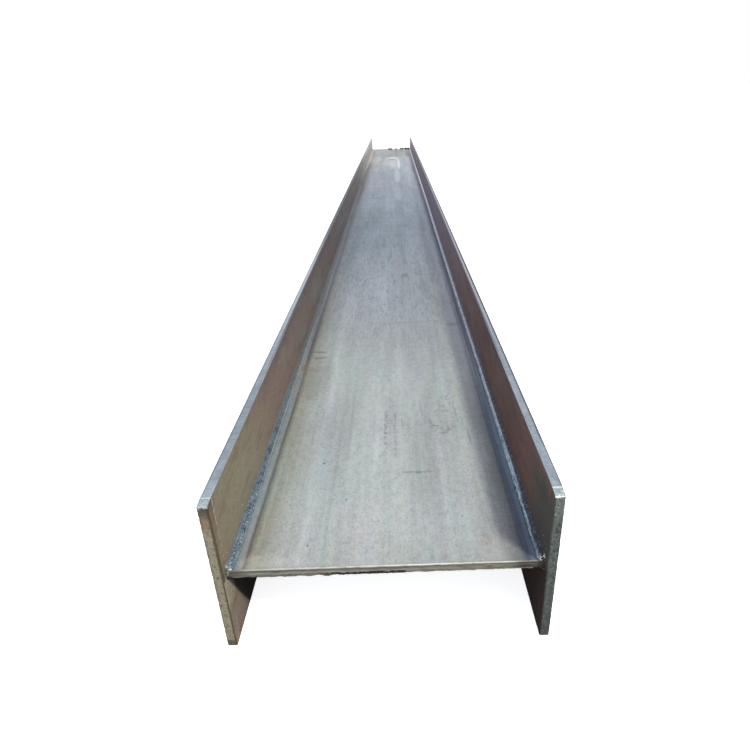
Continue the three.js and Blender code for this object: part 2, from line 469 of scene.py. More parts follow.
            # painted light in the right flange's shadow beside the right bead, along the middle and
            # far stretches
            tone("#CBD1DA", 0.33, ("x", 144, 180), ("x", 194, 182), ("y", 260, 1000),
                 ("y", 4300, 3400), wander=drift, strayBy=14),
            tone("#F0F6FA", 0.29, ("x", 80, 140), ("x", 182, 164), ("y", 2900, 3600),
                 ("y", 5800, 5000), wander=drift, strayBy=14),
            tone("#D8DEE6", 0.12, ("x", -194, -198), ("y", -500, 600), ("y", 1000, 780)),
            tone("#CFDCE2", 0.2, ("x", -104, -132), ("x", -174, -154), ("y", 1900, 2800),
                 ("y", 4300, 3500)),
            tone("#CFDCE4", 0.11, ("x", 50, 85), ("x", 150, 122), ("y", 1070, 1500),
                 ("y", 3800, 2600)),
            tone("#4A4A4E", 0.65, ("x", -188.2, -190.0), ("x", -194.6, -193.0), ("y", 420, 700),
                 ("y", 3600, 2200), wander=drift, strayBy=1.4),
            {"grain": ((8, 14, 8), 3.0, 0.7), "zones": (("y", 1300, 700),),
             "stops": ((0.32, "#F4FCF3"), (0.44, "#FFF8F8"), (0.54, "#F7FAFF"),
                       (0.66, "#FFFDF4"))},
            {"grain": ((12, 90, 12), 3.0, 0.7), "zones": (("y", 700, 1400),),
             "stops": ((0.30, "#B9C9C4"), (0.42, "#E8EEE8"), (0.50, "#FFF8FC"), (0.58, "#F5FAFF"),
                       (0.70, "#FFF6EA"))},
            # worn outlines of old wet patches
            {"grain": ((18, 42, 18), 2.0, 0.6), "wander": ((20, 30, 20), 3.0, 0.6), "strayBy": 24,
             "zones": (("x", 74, 86), ("x", 146, 130), ("y", 300, 316), ("y", 470, 430)),
             "stops": ((0.455, "#FFFFFF"), (0.474, "#8A7F88"), (0.486, "#8A7F88"),
                       (0.505, "#FFFFFF")), "strength": 0.35},
            # strokes of old marking paint, worn to specks
            tone("#5A505A", 0.55, ("x", -7, -4), ("x", 1.5, -1), ("y", 246, 256), ("y", 398, 386),
                 grain=((3, 6, 3), 3.0, 0.7), cut=(0.48, 0.58)),
            tone("#5A505A", 0.45, ("x", 11, 13), ("x", 18, 16), ("y", 242, 252), ("y", 393, 380),
                 grain=((3, 6, 3), 3.0, 0.7), cut=(0.48, 0.58)),
        ],
        # these lie over the marks
        "fineLayers": [
            {"grain": ((2.6, 3.6, 2.6), 4.0, 0.7), "zones": (("x", -197.5, -200.5),),
             "stops": ((0.34, "#A4B0BC"), (0.50, "#EEF3F6"), (0.62, "#FFFFFF"))},
            {"grain": ((3.2, 5, 3.2), 4.0, 0.7), "bump": (0.3, 0.45),
             "stops": ((0.25, "#C4C7C9"), (0.45, "#EFF0F1"), (0.7, "#FFFFFF"))},
            {"grain": ((11, 16, 11), 4.0, 0.7),
             "stops": ((0.30, "#E6E8EC"), (0.45, "#F7F6F6"), (0.58, "#FFFFFF"))},
            {"grain": ((2.2, 2.8, 2.2), 2.0, 0.5),
             "stops": ((0.22, "#9A9C9F"), (0.29, "#FFFFFF"))},
            tone("#6F6A5F", 0.45, ("fromEnd", 16, 9), wander=((24, 10, 24), 4.0, 0.6), strayBy=12),
        ],
    },
    # flame-cut end of the web, brushed by a grinder: warm grey with a bright worn lip, and painted
    # shade towards the right flange and beside both flanges
    "end": {
        "base": "#FFFFFF", "metallic": 0.45, "roughness": 0.5,
        "layers": [
            {"along": ("z", 119, 131), "wander": blotch, "strayBy": 1.2,
             "stops": ((0.0, "#3C3A35"), (0.08, "#5A574F"), (0.16, "#A39E94"), (0.48, "#B2ADA4"),
                       (0.56, "#6B6961"), (0.64, "#6D6B63"), (0.72, "#A6A59F"), (0.84, "#B4B4B1"),
                       (1.0, "#B3B3B1"))},
            # painted shade: darker towards the right flange
            tone("#7E7C76", 0.65, ("x", 30, 185)),
            tone("#2E2C28", 0.8, ("x", 158, 190)),
            {"grain": ((22, 6, 5), 4.0, 0.65),
             "stops": ((0.3, "#BDB1A8"), (0.45, "#E2E1DA"), (0.55, "#F3F4F1"), (0.7, "#D9DCDE"))},
            # painted shade in the corners beside both flanges
            tone("#55524B", 0.75, ("fromMiddle", 172, 203)),
            tone("#3A3733", 0.7, ("z", 121.8, 120.0), ("x", -110, -60), ("x", 45, 20)),
            {"grain": ((1.6, 4, 5), 3.0, 0.5), "bump": (0.4, 0.6)},
        ],
    },
}


def webEndInset(below):
    # how far the cut end lies behind its plane at a depth below the top face, in millimetres
    lip, groove = webPlan["lipHeight"], webPlan["grooveHeight"]
    if below < lip:
        half = lip / 2
        return half - math.sqrt(max(0.0, half ** 2 - (below - half) ** 2))
    if below < lip + groove:
        return webPlan["grooveDepth"]
    thickness = (webHigh.z - webLow.z) / mm
    rest = (below - lip - groove) / (thickness - lip - groove)
    return webPlan["bandInset"] + webPlan["footInset"] * smoothStep(rest, webPlan["footShare"], 1)


def makeWeb():
    # the steel has too many layers for one shader, so the near and far stretches have their own,
    # alike where they meet
    depth, stray, cut = webPlan["markDepth"], webPlan["markStray"], webPlan["markCut"]
    marks = [tone(colour, strength, oval=((x, y, webHigh.z / mm), (wide, long, depth), turn),
                  wander=ragged, strayBy=stray, cut=cut)
             for x, y, wide, long, turn, colour, strength in webPlan["marks"]]
    steel = webPlan["steel"]
    layers = steel["layers"] + marks + steel["fineLayers"]
    change, overlap = webPlan["stretchChange"], webPlan["stretchOverlap"]
    nearLayers = layersWithin(layers, -overlap, change + overlap)
    farLayers = layersWithin(layers, change - overlap, beamLength + overlap)
    materials = [makeFinish("hotRolledPlateNearStretch", dict(steel, layers=nearLayers)),
                 makeFinish("flameCutEndGroundLip", webPlan["end"]),
                 makeFinish("hotRolledPlateFarStretch", dict(steel, layers=farLayers))]
    bm = bmesh.new()
    addBox(bm, webLow, webHigh)
    for line in webPlan["toeLines"]:
        for side in (-1, 1):
            bmesh.ops.bisect_plane(bm, geom=bm.verts[:] + bm.edges[:] + bm.faces[:],
                                   plane_co=(side * line * mm, 0, 0), plane_no=(1, 0, 0))
    wide = edgesAlong(bm, 0, lambda edge: edge.calc_length() > webPlan["wideSpan"] * mm)
    bmesh.ops.subdivide_edges(bm, edges=wide, cuts=webPlan["crossCuts"], use_grid_fill=True)
    bmesh.ops.subdivide_edges(bm, edges=edgesAlong(bm, 1), cuts=webPlan["lengthCuts"],
                              use_grid_fill=True)
    half = webHigh.y
    for vert in bm.verts:
        vert.co.y = gradedLength(vert.co.y, half, webPlan["closeness"])
    splitReach = webPlan["splitReach"] * mm
    atEnds = edgesAlong(bm, 2, lambda edge: half - abs(edge.verts[0].co.y) < splitReach)
    bmesh.ops.subdivide_edges(bm, edges=atEnds, cuts=webPlan["endCuts"], use_grid_fill=True)
    bm.normal_update()
    for face in bm.faces:
        if abs(face.normal.y) > webPlan["endFacing"]:
            face.material_index = 1
        elif face.calc_center_median().y > nearEndY + change * mm:
            face.material_index = 2
    wavesAcross, wavesAlong = webPlan["waves"]
    endReach = webPlan["endReach"] * mm
    for vert in bm.verts:
        place = vert.co.copy()
        x, z = place.x / mm, place.z / mm
        wave = noise.noise(Vector((place.x * wavesAcross, place.y * wavesAlong, 3)))
        rise = smoothStep(webHigh.x / mm - abs(x), *webPlan["waveStart"])
        vert.co.z += wave * webPlan["flatness"] * mm * rise
        if place.z > webHigh.z - hair:
            near = 1 - min(1.0, abs(abs(x) - webPlan["toeLine"]) / webPlan["toeWidth"])
            vert.co.z -= near * webPlan["toeDepth"] * mm
        fromEnd = half - abs(place.y)
        if fromEnd < endReach:
            inset = webEndInset((webHigh.z - place.z) / mm)
            depth, across, up = webPlan["coarseRun"]
            inset += depth * (1 + noise.noise(Vector((x / across, z / up, place.y))))
            depth, across, up = webPlan["fineRun"]
            inset += depth * (1 + noise.noise(Vector((x / across, z / up, 5))))
            vert.co.y -= math.copysign(inset * mm * (1 - fromEnd / endReach), place.y)
    finishPiece(bm, "webPlate", "web_plate", materials)


makeWeb()
print("web plate made")


# dross that hangs from the lower edge of the web's cut ends

drossPlan = {
    # ragged runs under both cuts: how far in they hang, and each one's start, end and depth in
    # millimetres
    "runInset": 1.9,
    "runs": ((-203, -171, 1.2), (-171.5, 27, 3.2), (26.5, 120, 1.3), (119.5, 196, 0.9)),
    # slag left standing on the upper edge of the far cut, in the same way
    "slagInset": 2.2,
    "slag": ((-206, -40, 3.0), (-36, 12, 17), (47, 64, 15), (95, 150, 14), (152, 205, 18)),
    "thick": 2.6,
    "step": 1.5,
    "heightCuts": 3,
    # how far a run hangs and the slag rises, as a share of its height: the mean, then the swing
    # and the size of each noise on it
    "hang": (0.5, (0.7, 12), (0.25, 3)),
    "rise": (0.6, (0.7, 7)),
    "least": 0.1,
    "wobble": (0.5, 4),
    # frozen slag and steel from the torch: black-brown, rough and dull
    "steel": {
        "base": "#1C1916", "metallic": 0.1, "roughness": 0.85,
        "layers": [
            tone("#7E7B76", 0.8, ("y", 3000, 2900), ("x", -60, -100)),
            tone("#8A867E", 0.8, ("y", 3000, 2900), ("x", 20, 40)),
            {"grain": ((3, 3, 2), 3.0, 0.6), "bump": (0.5, 0.7),
             "stops": ((0.3, "#8E8578"), (0.5, "#FFFFFF"), (0.7, "#D0B59A"))},
        ],
    },
}


def makeDross():
    rows = []
    for endY, inward in ((webLow.y, 1), (webHigh.y, -1)):
        y = endY + inward * drossPlan["runInset"] * mm
        rows += [(*run, y, webLow.z) for run in drossPlan["runs"]]
    y = webHigh.y - drossPlan["slagInset"] * mm
    rows += [(*run, y, webHigh.z) for run in drossPlan["slag"]]
    thick = drossPlan["thick"] * mm
    bm = bmesh.new()
    for start, end, height, y, level in rows:
        addBox(bm, Vector((start * mm, y - thick / 2, level - height * mm)),
               Vector((end * mm, y + thick / 2, level + height * mm)))
    for start, end, _ in drossPlan["runs"] + drossPlan["slag"]:
        span = (end - start) * mm
        lengthwise = edgesAlong(bm, 0, lambda edge: abs(edge.calc_length() - span) < hair)
        bmesh.ops.subdivide_edges(bm, edges=lengthwise, use_grid_fill=True,
                                  cuts=int((end - start) / drossPlan["step"]))
    bmesh.ops.subdivide_edges(bm, edges=edgesAlong(bm, 2), cuts=drossPlan["heightCuts"],
                              use_grid_fill=True)
    hangMean, hangSwings = drossPlan["hang"][0], drossPlan["hang"][1:]
    riseMean, (riseSwing, riseSize) = drossPlan["rise"]
    wobble, wobbleSize = drossPlan["wobble"]
    for vert in bm.verts:
        place = vert.co.copy()
        x = place.x / mm
        below = (webLow.z - place.z) / mm
        if below > 0:
            hang = hangMean
            endPick = 10 * place.y
            for pick, (swing, size) in enumerate(hangSwings, 1):
                hang += swing * noise.noise(Vector((x / size, endPick, pick)))
            vert.co.z = webLow.z - below * max(drossPlan["least"], hang) * mm
        above = (place.z - webHigh.z) / mm
        if above > 0:
            rise = riseMean + riseSwing * noise.noise(Vector((x / riseSize, 5, 1)))
            vert.co.z = webHigh.z + above * max(drossPlan["least"], rise) * mm
        vert.co.y += wobble * mm * noise.noise(Vector((x / wobbleSize, below, 3)))
    material = makeFinish("torchDross", drossPlan["steel"])
    finishPiece(bm, "cutDross", None, [material], angle=1.2)


makeDross()
print("dross made")


# flange plates

# zones and layers that their finishes share
innerFace = ("fromMiddle", 218, 214)
underWeb = (innerFace, ("z", 121, 118), ("y", 260, 160))
# painted highlight: a bright dotted line along the ground step near each end
dressedStepHighlight = tone("#C9C3B4", 0.75, ("fromEnd", 14.4, 15.2), ("fromEnd", 17.0, 16.0),
                   ("z", 150, 215), grain=((3, 3, 5), 3.0, 0.6), cut=(0.36, 0.54))
tintGrain = {"grain": ((11, 34, 9), 4.0, 0.7),
             "stops": ((0.30, "#E6F0E3"), (0.42, "#FFF8F5"), (0.52, "#F4F8FF"), (0.60, "#FFFFFC"),
                       (0.70, "#FFEEE6"))}
cloudGrain = {"grain": ((30, 70, 25), 5.0, 0.7),
              "stops": ((0.30, "#CFC3C6"), (0.45, "#F0EBE8"), (0.55, "#F8F6EE"),
                        (0.70, "#E6D2C2"))}
rustGrain = {"grain": ((2.5, 4, 2.5), 4.0, 0.7), "bump": (0.35, 0.5),
             "stops": ((0.25, "#B9B5B0"), (0.45, "#ECEAE7"), (0.7, "#FFFFFF"))}

flangePlan = {
    "lengthCuts": 1300,
    "acrossCuts": 9,
    "heightCuts": 5,
    "endCuts": 24,
    "splitReach": 3.2,
    "closeness": 2.83,
    "arris": 1.2,
    "facing": 0.4,
    # name, CAD node, side and how far the upper corners come down
    "plates": (("flangeLeft", "flange_plate_left", -1, 1.5),
               ("flangeRight", "flange_plate_right", 1, 3.5)),
    "trimLength": 14,
    "trimHeight": 30,
    # the step ground into the inner face at each corner: its width, depth and slope, and where
    # it fades out above and below the middle
    "innerShare": 0.95,
    "dressedWidth": 15.5,
    "dressedDepth": 0.7,
    "dressedSlope": 2.2,
    "dressedHeights": (42, 72),
    # the skin is what lies this near a face; drag lines and nicks have their depth and their sizes
    # across, along and up
    "skin": 0.3,
    "drag": (0.22, (5, 2.6, 5)),
    # pits of the end faces: depth, sizes across and up, and the fine ones' share of the depth
    "pitDepth": 0.7,
    "widePits": (4, 5),
    "finePits": (1.8, 2.2),
    "finePitShare": 0.5,
    # a bias spreads the burr and the nicks over more than half of an edge
    "burr": (1.2, 2.4),
    "burrBias": 0.25,
    "burrHeight": 4,
    "burrReach": 3,
    "nickBias": 0.1,
    "nickReach": 1.3,
    "endNicks": (0.6, (3, 6, 4.5)),
    "edgeNicks": (0.35, (7, 5, 1)),
    "edgeNickHeight": 2,
    # flame-cut long edge: drag lines under a thin blue-grey oxide, worn bright on the ridges, with
    # painted highlights along the crease and the front edge. The torch leaves the drag lines under a
    # millimetre apart, and they are drawn at 2 to 3 mm so that they show
    "stripEdge": {
        "base": "#8D959B", "metallic": 0.45, "roughness": 0.45,
        "layers": [
            {"grain": ((12, 30, 12), 5.0, 0.65),
             "stops": ((0.30, "#D2D6D8"), (0.50, "#ECEEF0"), (0.68, "#FFFFFF"))},
            tone("#B6BCBE", 0.65, leftHalf, ("y", 200, 800), ("y", 1500, 1000)),
            tone("#2E3034", 0.9, ("fromMiddle", 216.6, 214.3), ("y", 240, 650), wander=ragged,
                 strayBy=1.5),
            tone("#464542", 0.9, leftHalf, ("y", 900, 1700), ("y", 4300, 3000)),
            tone("#55575A", 0.8, ("fromMiddle", 221.6, 223.6), wander=ragged, strayBy=1.2),
            tone("#2A2C30", 0.85, ("x", 220.0, 221.8), ("y", 260, 600), wander=ragged, strayBy=1.2),
            tone("#34363A", 0.7, ("x", 220.0, 222.4), ("y", 60, 150), wander=ragged, strayBy=1.2),
            tone("#1F2123", 0.92, ("x", -216.8, -214.4), ("y", 550, 900), ("y", 3200, 1800)),
            tone("#BEC2CA", 0.62, ("x", 213.5, 215), ("x", 220.4, 219), ("y", 350, 900),
                 ("y", 3400, 2200)),
            tone("#B4C0C4", 0.35, leftHalf, ("y", 60, 20)),
            {"along": ("y", 0, 6000), "zones": (leftHalf,),
             "stops": ((0.17, "#FFFFFF"), (0.30, "#ECEAE6"), (0.50, "#EAE9E2"), (0.70, "#F0EEE6"),
                       (0.90, "#FFFFFF"))},
            {"along": ("y", 0, 6000), "zones": (rightHalf,),
             "stops": ((0.08, "#FFFFFF"), (0.14, "#FFF3F2"), (0.33, "#FFF0ED"), (0.50, "#F6ECE9"),
                       (0.75, "#F8F2EF"))},
            tone("#7C878A", 0.55, ("fromEnd", 13.4, 12.4)),
            tone("#A9AFAB", 0.8, ("fromEnd", 13.4, 12.4), grain=((2.4, 2.4, 2.4), 3.0, 0.6),
                 cut=(0.47, 0.57)),
            tone("#B4B8BA", 0.8, leftHalf, ("y", 3500, 4600)),
            # painted highlight: a pale line along the crease where the upper edge starts to come
            # down
            tone("#CDD3D6", 0.85, ("fromEnd", 12.8, 13.6), ("fromEnd", 15.4, 14.5),
                 wander=((4, 4, 4), 3.0, 0.6), strayBy=1.8),
            # painted highlight: pale specks along the torn front edge
            tone("#D6DBDC", 0.8, ("fromEnd", 1.8, 0.8), grain=((3, 3, 3), 3.0, 0.6),
                 cut=(0.46, 0.54)),
            {"grain": ((14, 2.2, 14), 3.0, 0.5), "bump": (0.4, 0.35),
             "stops": ((0.3, "#D5D8DA"), (0.5, "#F4F5F6"), (0.7, "#FFFFFF"))},
        ],
    },
    # hot-rolled plate that lay outside: mill scale with a thin brown bloom of rust, dull and
    # cloudy, with fine darker pitting; the left one is olive to pink-brown and the right one is
    # dark maroon. Both carry painted shade under the web and painted glare towards the far end,
    # and the left one a painted shadow of the web near the end
    "leftFace": {
        "base": "#FFFFFF", "metallic": 0.2, "roughness": 0.6,
        "layers": [
            {"grain": ((90, 220, 60), 5.0, 0.6), "shift": {"Roughness": 0.2},
             "stops": ((0.34, "#8F8D84"), (0.50, "#8A7B6F"), (0.66, "#8E7A74"))},
            # painted glare: paler towards the far end
            tone("#C0BEB6", 0.9, ("y", 2400, 4300)),
            tone("#E4E2D4", 0.75, ("y", 3200, 4600)),
            tone("#85806B", 0.85, ("y", 480, 60)),
            {"along": ("y", 0, 6000), "wander": ((300, 500, 120), 3.0, 0.5), "strayBy": 200,
             "stops": ((0.03, "#FFFFFF"), (0.06, "#EFEAEE"), (0.09, "#EAE9EE"), (0.135, "#E1E5F0"),
                       (0.217, "#DFE0EE"), (0.333, "#E9F0FE"), (0.45, "#FFFFFF"))},
            tone("#9AA6B8", 0.13, ("y", 1400, 2300), ("y", 4400, 3200)),
            # more painted glare on the lower part towards the far end
            tone("#F0EAD8", 0.6, ("y", 3000, 4600), ("z", 215, 170)),
            {"along": ("z", 205, 249), "zones": (("y", -300, 500), ("y", 4200, 2200)),
             "stops": ((0.0, "#FFFFFF"), (0.6, "#E2E1E4"), (1.0, "#C8C8CE"))},
            tone("#5A5450", 0.5, innerFace, ("z", 146, 137), ("y", 450, 650), ("y", 2600, 1800)),
            tone("#7C6452", 0.6, ("fromEnd", 16, 14), ("z", 150, 200)),
            tone("#47362A", 0.75, ("fromEnd", 6.0, 2.0), ("z", 60, 110), wander=ragged,
                 strayBy=2.5),
            tone("#9C9F98", 0.6, *underWeb),
            tone("#9D8A80", 0.75, innerFace, ("z", 92, 62), ("y", 260, 160),
                 wander=((12, 12, 12), 3.0, 0.5), strayBy=14),
            # painted shade just under the web near the end
            tone("#2A241C", 0.85, *underWeb, ("z", 107, 112), ("y", 12, 18)),
            # painted shadow that the web casts on the inner face near the end, with a sharp diagonal
            # edge
            tone("#241D16", 0.9, *underWeb, oval=((-211, 935, 507), (1000, 1000, 1000), 0.0),
                 cut=(1.004, 0.999), wander=ragged, strayBy=0.004),
            # painted light where the lamp reaches under the web near the end
            tone("#BDB69E", 0.6, innerFace, ("z", 121, 118), ("z", 66, 84), ("y", 40, 12)),
            dressedStepHighlight,
            cloudGrain,
            tintGrain,
            rustGrain,
        ],
    },
    "rightFace": {
        "base": "#FFFFFF", "metallic": 0.2, "roughness": 0.6,
        "layers": [
            {"grain": ((90, 220, 60), 5.0, 0.6), "shift": {"Roughness": 0.2},
             "stops": ((0.34, "#74696A"), (0.50, "#77594C"), (0.66, "#6C5257"))},
            tone("#948A9C", 0.85, ("y", 350, 2150)),
            tone("#4C504C", 0.85, ("y", 150, 40), ("z", 256, 220), wander=((40, 60, 40), 3.0, 0.5),
                 strayBy=60),
            {"along": ("y", 0, 6000),
             "stops": ((0.02, "#FFFFFF"), (0.04, "#EEECEE"), (0.09, "#EDEBEE"), (0.15, "#FFFFFF"))},
            {"along": ("z", 205, 249), "zones": (("y", 60, 320), ("y", 5600, 4600)),
             "stops": ((0.0, "#FFFFFF"), (0.6, "#ECECF8"), (1.0, "#E0E0FA"))},
            # painted glare: paler towards the far end
            tone("#B8B5B6", 0.75, ("y", 4800, 5900)),
            # painted shade under the web
            tone("#4A2E2A", 0.45, innerFace, ("z", 119, 112)),
            tone("#6E6A72", 0.35, ("z", 215, 240), ("y", 2600, 3800), ("y", 5300, 4700)),
            cloudGrain,
            tintGrain,
            rustGrain,
        ],
    },
    # flame-cut end faces: pitted, with patches of thin rust over the dark cutting oxide
    "tanEnd": {
        "base": "#FFFFFF", "metallic": 0.2, "roughness": 0.62,
        "layers": [
            {"grain": ((9, 9, 14), 5.0, 0.7),
             "stops": ((0.30, "#57543F"), (0.40, "#8C8872"), (0.50, "#A29B88"), (0.60, "#9E8F79"),
                       (0.70, "#75654F"))},
            tone("#8A6B4C", 0.5, ("z", 200, 222), ("z", 240, 234), wander=blotch,
                 strayBy=12),
            tone("#55473A", 0.75, ("z", 16, 8), wander=blotch, strayBy=6),
            tone("#4C5049", 0.9, ("z", 225, 240), wander=blotch, strayBy=12),
            tone("#4A3B30", 0.85, ("fromMiddle", 214.4, 212.4), wander=ragged, strayBy=1.8),
            tone("#5C4C3A", 0.6, ("fromMiddle", 214.4, 212.4), ("z", 120, 90)),
            tone("#B4BEC0", 0.9, ("z", 244.4, 245.8), wander=((5, 5, 5), 3.0, 0.6), strayBy=12),
            tone("#574437", 0.6, ("fromMiddle", 222.6, 224.4), wander=ragged, strayBy=1.8),
            tone("#4B473A", 0.65, grain=((5, 5, 7), 4.0, 0.7), cut=(0.56, 0.64), bump=(0.8, 0.7)),
            {"grain": ((2.2, 2.2, 2.6), 3.0, 0.6),
             "stops": ((0.28, "#8F8B85"), (0.42, "#E8E6E2"), (0.6, "#FFFFFF"))},
        ],
    },
    "darkEnd": {
        "base": "#FFFFFF", "metallic": 0.25, "roughness": 0.58,
        "layers": [
            {"grain": ((7, 7, 11), 5.0, 0.65),
             "stops": ((0.30, "#434745"), (0.45, "#575D5D"), (0.55, "#5F6762"), (0.70, "#717A75"))},
            tone("#8B9695", 0.3, ("z", 195, 225)),
            tone("#4A4D49", 0.4, ("z", 70, 20)),
            tone("#33342F", 0.7, ("fromMiddle", 213.6, 212.2), wander=ragged, strayBy=1.6),
            tone("#C2C8C6", 0.8, ("z", 244.0, 245.6), wander=((5, 5, 5), 3.0, 0.6), strayBy=8),
            tone("#78807E", 0.25, ("z", 105, 140), ("z", 205, 190), ("fromMiddle", 218, 214)),
            tone("#B9C2C0", 0.8, ("z", 205, 228), grain=((2.6, 2.6, 3.2), 3.0, 0.6),
                 cut=(0.58, 0.68)),
            {"grain": ((3, 3, 4), 3.0, 0.6), "bump": (0.8, 0.7),
             "stops": ((0.30, "#6F6E6C"), (0.45, "#E0E0DC"), (0.62, "#FFFFFF"))},
        ],
    },
}


def makeFlange(name, node, side, trimDrop, materials):
    low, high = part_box(node)
    arris = flangePlan["arris"] * mm
    bm = bmesh.new()
    addBox(bm, low, high)
    bmesh.ops.bevel(bm, geom=bm.edges[:], offset=arris, segments=2, affect="EDGES",
                    profile=0.5, material=-1)
    bmesh.ops.subdivide_edges(bm, edges=edgesAlong(bm, 1), cuts=flangePlan["lengthCuts"],
                              use_grid_fill=True)
    half = high.y
    for vert in bm.verts:
        if abs(vert.co.y) < half - arris - hair:
            vert.co.y = gradedLength(vert.co.y, half - arris, flangePlan["closeness"])
    for axis, cuts in ((0, flangePlan["acrossCuts"]), (2, flangePlan["heightCuts"])):
        bmesh.ops.subdivide_edges(bm, edges=edgesAlong(bm, axis), cuts=cuts, use_grid_fill=True)
    splitReach = flangePlan["splitReach"] * mm
    atEnds = edgesAlong(bm, 2, lambda edge: half - abs(edge.verts[0].co.y) < splitReach)
    bmesh.ops.subdivide_edges(bm, edges=atEnds, cuts=flangePlan["endCuts"], use_grid_fill=True)
    bm.normal_update()
    for face in bm.faces:
        if abs(face.normal.z) > flangePlan["facing"]:
            face.material_index = 1
        elif abs(face.normal.y) > flangePlan["facing"]:
            face.material_index = 2 if face.normal.y < 0 else 3

    middle = (low + high) / 2
    halfThick, halfHeight = (high.x - low.x) / 2 / mm, (high.z - low.z) / 2 / mm
    stepStart, stepEnd = flangePlan["dressedHeights"]
    dragDepth, dragSize = flangePlan["drag"]
    wideAcross, wideUp = flangePlan["widePits"]
    fineAcross, fineUp = flangePlan["finePits"]
    burrDepth, burrSize = flangePlan["burr"]
    burrReach, nickBias = flangePlan["burrReach"], flangePlan["nickBias"]
    for vert in bm.verts:
        place = vert.co.copy()
        fromEnd = (half - abs(place.y)) / mm
        across, along, upright = (place - middle) / mm
        fromTop, fromEdge = halfHeight - upright, halfHeight - abs(upright)
        # the upper edge comes down at the ends
        drop = trimDrop * max(0.0, 1 - fromEnd / flangePlan["trimLength"])
        squeeze = max(0.0, 1 - fromTop / flangePlan["trimHeight"])
        shift = Vector((0, 0, -drop * squeeze))
        # the inner face is ground back a step there
        if -side * across / halfThick > flangePlan["innerShare"]:
            ground = smoothStep(flangePlan["dressedWidth"] - fromEnd, 0, flangePlan["dressedSlope"])
            ground *= smoothStep(abs(upright), stepStart, stepEnd)
            shift.x += side * ground * flangePlan["dressedDepth"]
        onStrip, onEnd = fromEdge < flangePlan["skin"], fromEnd < flangePlan["skin"]
        if onStrip:
            ridge = 0.5 + 0.5 * noiseAt((across, along, upright), dragSize)
            shift.z -= math.copysign(ridge * dragDepth, upright)
        if onEnd:
            pit = noise.noise(Vector((across / wideAcross, 7, upright / wideUp)))
            finePit = noise.noise(Vector((across / fineAcross, 2, upright / fineUp)))
            pit += flangePlan["finePitShare"] * finePit
            shift.y -= math.copysign(max(0.0, pit) * flangePlan["pitDepth"], along)
        # a torn burr runs along the upper edge of each end
        if fromTop < flangePlan["burrHeight"] and fromEnd < burrReach:
            torn = noise.noise(Vector((across / burrSize, place.y, 3 * side)))
            torn += flangePlan["burrBias"]
            shift.z -= max(0.0, torn) * burrDepth * (1 - fromEnd / burrReach)
        # nicks along the arrises
        nearArris = 1 - smoothStep(min(halfThick - abs(across), fromEdge), 0,
                                   flangePlan["nickReach"])
        if fromEnd < flangePlan["nickReach"]:
            depth, size = flangePlan["endNicks"]
            nick = max(0.0, noiseAt((across, along, upright), size) + nickBias) * depth * nearArris
            shift.x -= math.copysign(nick, across)
            shift.y -= math.copysign(nick, along)
        elif fromEdge < flangePlan["edgeNickHeight"]:
            depth, size = flangePlan["edgeNicks"]
            nick = max(0.0, noiseAt((across, along, upright), size) + nickBias) * depth * nearArris
            shift.x -= math.copysign(nick, across)
        vert.co += shift * mm
    finishPiece(bm, name, node, materials)


stripEdge = makeFinish("flameCutEdgeBlueOxide", flangePlan["stripEdge"])
tanEnd = makeFinish("flameCutEndTanRust", flangePlan["tanEnd"])
darkEnd = makeFinish("flameCutEndDarkScale", flangePlan["darkEnd"])
leftFace = makeFinish("hotRolledPlateOliveRustPaintedShade", flangePlan["leftFace"])
rightFace = makeFinish("hotRolledPlateRedRustPaintedShade", flangePlan["rightFace"])
# each plate's faces, long edges, near end and far end
plateMaterials = ((leftFace, stripEdge, tanEnd, darkEnd), (rightFace, stripEdge, darkEnd, tanEnd))
for plate, materials in zip(flangePlan["plates"], plateMaterials):
    makeFlange(*plate, materials)
print("flange plates made")


# fillet welds

